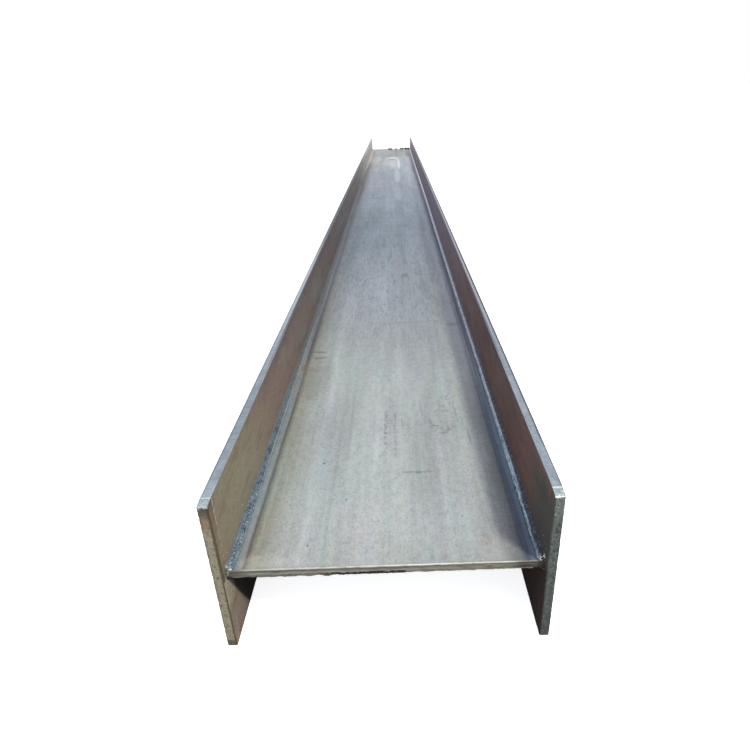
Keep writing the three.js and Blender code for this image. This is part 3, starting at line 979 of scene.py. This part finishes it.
weldPlan = {
    # ripples freeze one or two millimetres apart, and are drawn wider so that they show
    "ripplePitch": 3.6,
    "stationsPerRipple": 3,
    "faceSegments": 7,
    "leg": 10,
    "crown": 1.1,
    "craterLength": 16,
    "craterTip": 0.35,
    # slow swells: share of the leg and length in millimetres of one radian
    "swells": ((0.03, 97), (0.02, 231)),
    # how far a ripple trails in the middle of the bead, in radians
    "rippleLag": 1.8,
    # rough lumps: share of the ripple height, and how many to a metre across and along
    "lumps": ((1.3, 260, 230), (1.2, 90, 60)),
    "leastBulge": 0.15,
    "toeRun": (0.16, 210),
    # submerged-arc bead: fine frozen ripples under a dark blue temper film, with paler specks
    # painted as glints; duller and more mottled on the left, and on the right with a painted
    # highlight streak along its crown
    "mottled": {
        "base": "#727D84", "metallic": 0.5, "roughness": 0.5,
        "layers": [
            {"grain": ((9, 20, 9), 5.0, 0.7),
             "stops": ((0.32, "#6F7D8F"), (0.45, "#B9C4D0"), (0.54, "#E9EEF1"), (0.66, "#FFFFFF"))},
            {"grain": ((2.6, 3.6, 2.6), 4.0, 0.7), "bump": (0.35, 0.45),
             "stops": ((0.34, "#6E7C88"), (0.48, "#C6CED4"), (0.62, "#FFFFFF"))},
            tone("#625F55", 0.8, ("fromMiddle", 207.2, 209.8), wander=ragged, strayBy=4.5),
            tone("#3E3C3A", 0.75, ("fromMiddle", 205.2, 208.0), ("y", 400, 700), ("y", 2600, 1700),
                 wander=ragged, strayBy=1.6),
            tone("#9FA9AC", 0.25, ("fromMiddle", 202.8, 201.2), wander=ragged, strayBy=2.4),
            # painted glints: pale specks on the bead
            tone("#CFD8DA", 0.8, ("fromMiddle", 205.5, 202.5), grain=specks,
                 cut=(0.62, 0.70)),
            tone("#77746C", 0.4, ("y", 180, 700)),
            tone("#55524C", 0.2, ("y", 500, 1000)),
            tone("#3C3A3A", 0.32, ("fromMiddle", 203.4, 205.2), ("y", 400, 700), ("y", 3000, 1900)),
            # painted glare: paler towards the far end
            tone("#D4D0BC", 0.8, ("y", 3400, 4900)),
            # more painted glints near the end
            tone("#C2D2DC", 0.2, ("y", 240, 90), ("fromMiddle", 209, 207.6),
                 grain=specks, cut=(0.48, 0.60)),
            tone("#C4C2B8", 0.28, ("y", 190, 300), ("y", 1050, 780), ("fromMiddle", 203.4, 201.8)),
            # painted shade under the web at the near end, on the lower bead
            tone("#262320", 0.9, ("z", 120.5, 118.5), ("y", 60, 20)),
        ],
    },
    "glossy": {
        "base": "#56606C", "metallic": 0.75, "roughness": 0.3,
        "layers": [
            # painted highlight: a pale streak along the crown near the end, standing in for the
            # sky's reflection
            tone("#E0F6FC", 0.98, ("fromMiddle", 201.2, 202.2), ("fromMiddle", 205.0, 203.8),
                 ("y", 420, 200), wander=((3.2, 8, 3.2), 4.0, 0.7), strayBy=4.2),
            tone("#C4D6E0", 0.7, ("fromMiddle", 203.6, 204.6), ("fromMiddle", 207.6, 206.2),
                 ("y", 110, 160), ("y", 400, 280), wander=((3.2, 8, 3.2), 4.0, 0.7), strayBy=2.6),
            tone("#2A333E", 0.65, ("fromMiddle", 200.6, 201.6), ("y", 440, 260),
                 grain=((2.4, 5, 2.4), 3.0, 0.6), cut=(0.56, 0.64)),
            tone("#2A323C", 0.75, ("fromMiddle", 202.4, 203.6), ("y", 80, 55), wander=ragged,
                 strayBy=2.0),
            tone("#A8B4C2", 0.8, ("fromMiddle", 199.6, 200.4), ("fromMiddle", 206, 204),
                 ("y", 46, 32), grain=((2, 3, 2), 3.0, 0.6), cut=(0.42, 0.52)),
            # the painted highlight streak along the middle stretch
            tone("#D8DCE2", 0.78, ("fromMiddle", 201.4, 202.4), ("fromMiddle", 207.4, 205.8),
                 ("y", 200, 420), ("y", 3000, 1900), wander=((5, 14, 5), 4.0, 0.6), strayBy=1.6),
            tone("#3A393B", 0.9, ("fromMiddle", 205.3, 206.5), ("y", 190, 110), wander=ragged,
                 strayBy=1.6),
            tone("#45444A", 0.8, ("fromMiddle", 207.0, 208.4), ("y", 200, 420), ("y", 2000, 1000),
                 wander=ragged, strayBy=1.6),
            tone("#38302E", 0.7, ("fromMiddle", 207.2, 208.6), ("y", 100, 160), ("y", 600, 340)),
            tone("#66687A", 0.7, ("fromMiddle", 204.6, 203.0), ("y", 1800, 2900)),
            # painted glints
            tone("#9DB2C6", 0.7, ("fromMiddle", 204.6, 205.6), ("y", 700, 300),
                 grain=specks, cut=(0.62, 0.68)),
            {"grain": ((9, 24, 9), 5.0, 0.65), "shift": {"Roughness": 0.1},
             "stops": ((0.30, "#A4ABB8"), (0.46, "#D6DAE2"), (0.58, "#F6F7F8"), (0.70, "#F3E9EC"))},
            {"grain": ((2.6, 3.2, 2.6), 4.0, 0.7), "bump": (0.2, 0.3),
             "stops": ((0.30, "#B5BBC2"), (0.5, "#E6E9EC"), (0.66, "#FFFFFF"))},
            # the painted highlight streak towards the far end
            tone("#F6F0F6", 0.62, ("fromMiddle", 204.6, 206.4), ("y", 1500, 3600)),
            # painted glints at the near end
            tone("#F6EEF4", 0.85, ("y", 18, 13), grain=((2, 2, 2), 2.0, 0.5), cut=(0.55, 0.60)),
        ],
    },
    # name, CAD node, phase of the swell, finish, ripple height in millimetres and the height of
    # the upright leg as a share of the leg
    "welds": (
        ("weldUpperLeft", "fillet_weld_upper_left", 0.6, "mottled", 0.20, 0.82),
        ("weldUpperRight", "fillet_weld_upper_right", 1.4, "glossy", 0.09, 0.92),
        ("weldLowerLeft", "fillet_weld_lower_left", 2.9, "mottled", 0.20, 0.9),
        ("weldLowerRight", "fillet_weld_lower_right", 4.2, "glossy", 0.12, 0.9),
    ),
}


def makeWeld(name, node, phase, material, rippleHeight, uprightShare):
    low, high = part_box(node)
    side = 1 if high.x > 0 else -1
    up = 1 if low.z > (webLow.z + webHigh.z) / 2 else -1
    corner = Vector((webHigh.x * side, 0, webHigh.z if up > 0 else webLow.z))
    leg, crown = weldPlan["leg"] * mm, weldPlan["crown"] * mm
    pitch, craterTip = weldPlan["ripplePitch"] * mm, weldPlan["craterTip"]
    toeDepth, toeWaves = weldPlan["toeRun"]
    # the section: the corner first, then the crowned face from toe to toe
    bm = bmesh.new()
    made = bmesh.ops.create_circle(bm, cap_ends=True, segments=weldPlan["faceSegments"] + 2,
                                   radius=leg)
    for i, vert in enumerate(made["verts"]):
        vert.co = Vector((0, low.y, 0))
        if i > 0:
            t = (i - 1) / weldPlan["faceSegments"]
            out = 2 * t * (1 - t) * (leg / 2 + crown * math.sqrt(2))
            vert.co = Vector((leg * (1 - t) ** 2 + out, low.y, leg * t * t + out))
    grown = bmesh.ops.extrude_face_region(bm, geom=list(bm.faces), use_keep_orig=True)
    far = [g for g in grown["geom"] if isinstance(g, bmesh.types.BMVert)]
    bmesh.ops.translate(bm, vec=(0, high.y - low.y, 0), verts=far)
    stations = round((high.y - low.y) / pitch * weldPlan["stationsPerRipple"])
    bmesh.ops.subdivide_edges(bm, edges=edgesAlong(bm, 1), cuts=stations)
    for vert in bm.verts:
        x, y, z = vert.co
        reach = math.hypot(x, z)
        if reach > hair:
            turn = math.atan2(z, x)
            fromEnd = min(1.0, (high.y - abs(y)) / (weldPlan["craterLength"] * mm))
            full = math.sqrt(max(0.0, 1 - (1 - fromEnd) ** 2))
            rounding = craterTip + (1 - craterTip) * full
            swell = 1 + sum(share * math.sin(y / mm / length + phase)
                            for share, length in weldPlan["swells"])
            lag = weldPlan["rippleLag"] * math.cos(2 * turn - math.pi / 2)
            bulge = math.sin(2 * math.pi * y / pitch + lag)
            for share, across, along in weldPlan["lumps"]:
                bulge += share * noise.noise(Vector((x * across, y * along, z * across + phase)))
            bulge *= rippleHeight * mm * max(weldPlan["leastBulge"], math.sin(2 * turn))
            scale = swell * rounding + bulge / reach
            toe = toeDepth * noise.noise(Vector((y * toeWaves, phase, 4))) * z / leg
            vert.co.x *= scale
            vert.co.z *= scale * (uprightShare + toe)
        vert.co.x = corner.x - side * vert.co.x
        vert.co.z = corner.z + up * vert.co.z
    bmesh.ops.recalc_face_normals(bm, faces=bm.faces)
    finishPiece(bm, name, node, [material], angle=1.0)


beadFinishes = {kind: makeFinish("submergedArcBead" + kind.capitalize(), weldPlan[kind])
                for kind in ("mottled", "glossy")}
for name, node, phase, kind, rippleHeight, uprightShare in weldPlan["welds"]:
    makeWeld(name, node, phase, beadFinishes[kind], rippleHeight, uprightShare)
print("welds made")


# lumps where the beads start and stop, and spatter beside them

spatterPlan = {
    "seed": 7,
    "drops": 110,
    "radius": (0.35, 0.9),
    # the drops lie thickest near the near end and beside the corner, in millimetres
    "firstDrop": 14,
    "lengthShare": 0.995,
    "crowding": 2.2,
    "webShare": 0.7,
    "fromCorner": 12,
    "webSpread": 26,
    "flangeSpread": 20,
    "sunk": 0.2,
    # swing and fineness of the noises that make the lumps uneven
    "uneven": (0.22, 1.6),
    "fineUneven": (0.12, 4.2),
    # centre and half sizes of each lump of run-out weld metal, in millimetres
    "lumps": (
        ((-206.5, 12.4, 130.6), (3.8, 2.2, 2.2)),
        ((-209.0, 12.0, 126.0), (1.6, 1.8, 5.0)),
        ((206.0, 12.6, 131.2), (2.8, 2.0, 1.6)),
        ((209.2, 12.6, 132.8), (1.4, 1.6, 1.9)),
        ((-206.5, 5988.0, 130.6), (3.6, 2.2, 2.4)),
        ((206.0, 5988.0, 130.6), (3.6, 2.2, 2.4)),
    ),
    # solid weld metal brushed clean with a wire wheel: pale, bright and a little pink, with dark
    # specks and painted glints on the lumps at the near end
    "steel": {
        "base": "#A7A6A4", "metallic": 0.5, "roughness": 0.42,
        "layers": [
            {"grain": ((3, 3, 3), 4.0, 0.65), "bump": (0.5, 0.6),
             "stops": ((0.32, "#8B8884"), (0.46, "#E2DEDA"), (0.6, "#FFFFFF"))},
            tone("#2C2A32", 0.85, ("fromMiddle", 200, 203), ("y", 60, 30),
                 grain=((2, 2, 2), 2.0, 0.5), cut=(0.50, 0.44)),
            # painted glints on the lumps at the near end
            tone("#FFF4F7", 0.95, ("fromMiddle", 200, 203), ("y", 60, 30),
                 grain=((1.7, 1.7, 1.7), 2.0, 0.5), cut=(0.53, 0.58)),
        ],
    },
}


def makeSpatter():
    draw = random.Random(spatterPlan["seed"])
    bm = bmesh.new()
    swing, fine = spatterPlan["uneven"]
    fineSwing, veryFine = spatterPlan["fineUneven"]
    for centre, half in spatterPlan["lumps"]:
        made = bmesh.ops.create_icosphere(bm, subdivisions=3, radius=1.0)
        for vert in made["verts"]:
            bulge = 1 + swing * noise.noise(vert.co * fine + Vector(centre))
            bulge += fineSwing * noise.noise(vert.co * veryFine)
            vert.co = Vector([(centre[i] + vert.co[i] * half[i] * bulge) * mm for i in range(3)])
            vert.co.y += nearEndY
    low, high = spatterPlan["radius"]
    for i in range(spatterPlan["drops"]):
        side = draw.choice((-1, 1))
        radius = (low + (high - low) * draw.random() ** 2) * mm
        along = beamLength * spatterPlan["lengthShare"] * draw.random() ** spatterPlan["crowding"]
        y = nearEndY + (spatterPlan["firstDrop"] + along) * mm
        onWeb = draw.random() < spatterPlan["webShare"]
        widest = spatterPlan["webSpread" if onWeb else "flangeSpread"]
        spread = (spatterPlan["fromCorner"] + widest * draw.random() ** 2) * mm
        centre = Vector((side * webHigh.x, y, webHigh.z + spread))
        if onWeb:
            centre.x = side * (webHigh.x - spread)
            centre.z = webHigh.z + spatterPlan["sunk"] * radius
        made = bmesh.ops.create_uvsphere(bm, u_segments=8, v_segments=4, radius=radius)
        bmesh.ops.translate(bm, vec=centre, verts=made["verts"])
    material = makeFinish("wireBrushedWeldMetal", spatterPlan["steel"])
    finishPiece(bm, "weldSpatter", None, [material], angle=1.2)


makeSpatter()
print("weld ends and spatter made")


# floor, light and camera

# painted concrete: matt and even, pale to the camera and grey where the steel mirrors it; the
# size and the rise are in metres and the gap under the beam is in millimetres
floorPlan = {
    "size": 400,
    "gap": 0.2,
    "paint": "#F4F4F2",
    "mirrored": "#6C6C6A",
    "roughness": 0.9,
    "specular": 0.1,
    "glow": 0.8,
    # the floor past the far end glows to the steel, though not to the camera, as under a window, and
    # lights and shows in the long faces
    "windowGlow": 3.0,
    "windowRise": 3,
}


def makeFloor():
    bm = bmesh.new()
    bmesh.ops.create_grid(bm, x_segments=1, y_segments=1, size=floorPlan["size"])
    mesh = bpy.data.meshes.new("studioFloor")
    bm.to_mesh(mesh)
    bm.free()
    floor = bpy.data.objects.new("studioFloor", mesh)
    bpy.context.scene.collection.objects.link(floor)
    floor.location.z = cadBox[0].z - floorPlan["gap"] * mm
    material = bpy.data.materials.new("palePaintedFloor")
    material.use_nodes = True
    tree = material.node_tree
    shader = tree.nodes["Principled BSDF"]
    shader.inputs["Roughness"].default_value = floorPlan["roughness"]
    shader.inputs["Specular IOR Level"].default_value = floorPlan["specular"]
    shader.inputs["Emission Color"].default_value = linearColour("#FFFFFF")
    rays = addNode(tree, "ShaderNodeLightPath")
    paint = addNode(tree, "ShaderNodeMix", {"data_type": "RGBA"}, {
        "Factor": rays.outputs["Is Camera Ray"], "A": linearColour(floorPlan["mirrored"]),
        "B": linearColour(floorPlan["paint"])})
    tree.links.new(paint.outputs["Result"], shader.inputs["Base Color"])
    place = addNode(tree, "ShaderNodeTexCoord").outputs["Object"]
    ahead = addNode(tree, "ShaderNodeSeparateXYZ", None, {0: place}).outputs["Y"]
    window = addNode(tree, "ShaderNodeMapRange", {"interpolation_type": "SMOOTHSTEP"}, {
        "Value": ahead, "From Min": farEndY, "From Max": farEndY + floorPlan["windowRise"],
        "To Max": floorPlan["windowGlow"]})
    glow = addNode(tree, "ShaderNodeMix", {"data_type": "FLOAT"}, {
        "Factor": rays.outputs["Is Camera Ray"], "A": window.outputs[0], "B": floorPlan["glow"]})
    tree.links.new(glow.outputs["Result"], shader.inputs["Emission Strength"])
    mesh.materials.append(material)


# the lamp and the camera are placed from the middle of the near end, in metres
lightPlan = {
    "lamp": {"place": (0.838, -0.69, 1.53), "size": 0.2, "power": 39, "colour": "#FFFEF2"},
    "sky": ((0.0, "#FFFFFF"), (0.08, "#F0F2F6"), (0.2, "#CCD0DA"), (1.0, "#CACEDB")),
    "skyStrength": 1.6,
    "backdrop": "#FFFFFF",
}


def makeLight():
    plan = lightPlan["lamp"]
    data = bpy.data.lights.new("keyLamp", "AREA")
    data.shape = "DISK"
    data.size = plan["size"]
    data.energy = plan["power"]
    data.color = linearColour(plan["colour"])[:3]
    lamp = bpy.data.objects.new("keyLamp", data)
    lamp.location = Vector(plan["place"]) + Vector((0, nearEndY, 0))
    target = Vector((0, nearEndY, webHigh.z))
    lamp.rotation_mode = "QUATERNION"
    lamp.rotation_quaternion = (lamp.location - target).to_track_quat("Z", "Y")
    bpy.context.scene.collection.objects.link(lamp)
    world = bpy.data.worlds.new("softSky")
    world.use_nodes = True
    tree = world.node_tree
    background = tree.nodes["Background"]
    place = addNode(tree, "ShaderNodeTexCoord").outputs["Generated"]
    rise = addNode(tree, "ShaderNodeSeparateXYZ", None, {0: place}).outputs["Z"]
    sky = addNode(tree, "ShaderNodeValToRGB", None, {"Fac": rise}, lightPlan["sky"])
    rays = addNode(tree, "ShaderNodeLightPath")
    seen = addNode(tree, "ShaderNodeMix", {"data_type": "RGBA"}, {
        "Factor": rays.outputs["Is Camera Ray"], "A": sky.outputs["Color"],
        "B": linearColour(lightPlan["backdrop"])})
    strength = addNode(tree, "ShaderNodeMapRange", None, {
        "Value": rays.outputs["Is Camera Ray"], "To Min": lightPlan["skyStrength"], "To Max": 1.0})
    tree.links.new(seen.outputs["Result"], background.inputs["Color"])
    tree.links.new(strength.outputs[0], background.inputs["Strength"])
    bpy.context.scene.world = world


cameraPlan = {
    "place": (0.0275, -0.5133, 0.6974),
    "pitchDown": 24.208,
    "heading": 0.305,
    "roll": 1.605,
    "sensor": 36,
    "lens": 25.823,
    "shift": (-0.035827, -0.051358),
}


def makeCamera():
    data = bpy.data.cameras.new("viewCamera")
    data.sensor_width = cameraPlan["sensor"]
    data.lens = cameraPlan["lens"]
    data.shift_x, data.shift_y = cameraPlan["shift"]
    camera = bpy.data.objects.new("viewCamera", data)
    turn = Matrix.Rotation(-math.radians(cameraPlan["heading"]), 4, "Z")
    turn @= Matrix.Rotation(math.radians(90 - cameraPlan["pitchDown"]), 4, "X")
    turn @= Matrix.Rotation(-math.radians(cameraPlan["roll"]), 4, "Z")
    place = Vector(cameraPlan["place"]) + Vector((0, nearEndY, 0))
    camera.matrix_world = Matrix.Translation(place) @ turn
    bpy.context.scene.collection.objects.link(camera)
    bpy.context.scene.camera = camera


makeFloor()
makeLight()
makeCamera()
bpy.context.scene.view_settings.view_transform = "Standard"
print("floor, light and camera made")
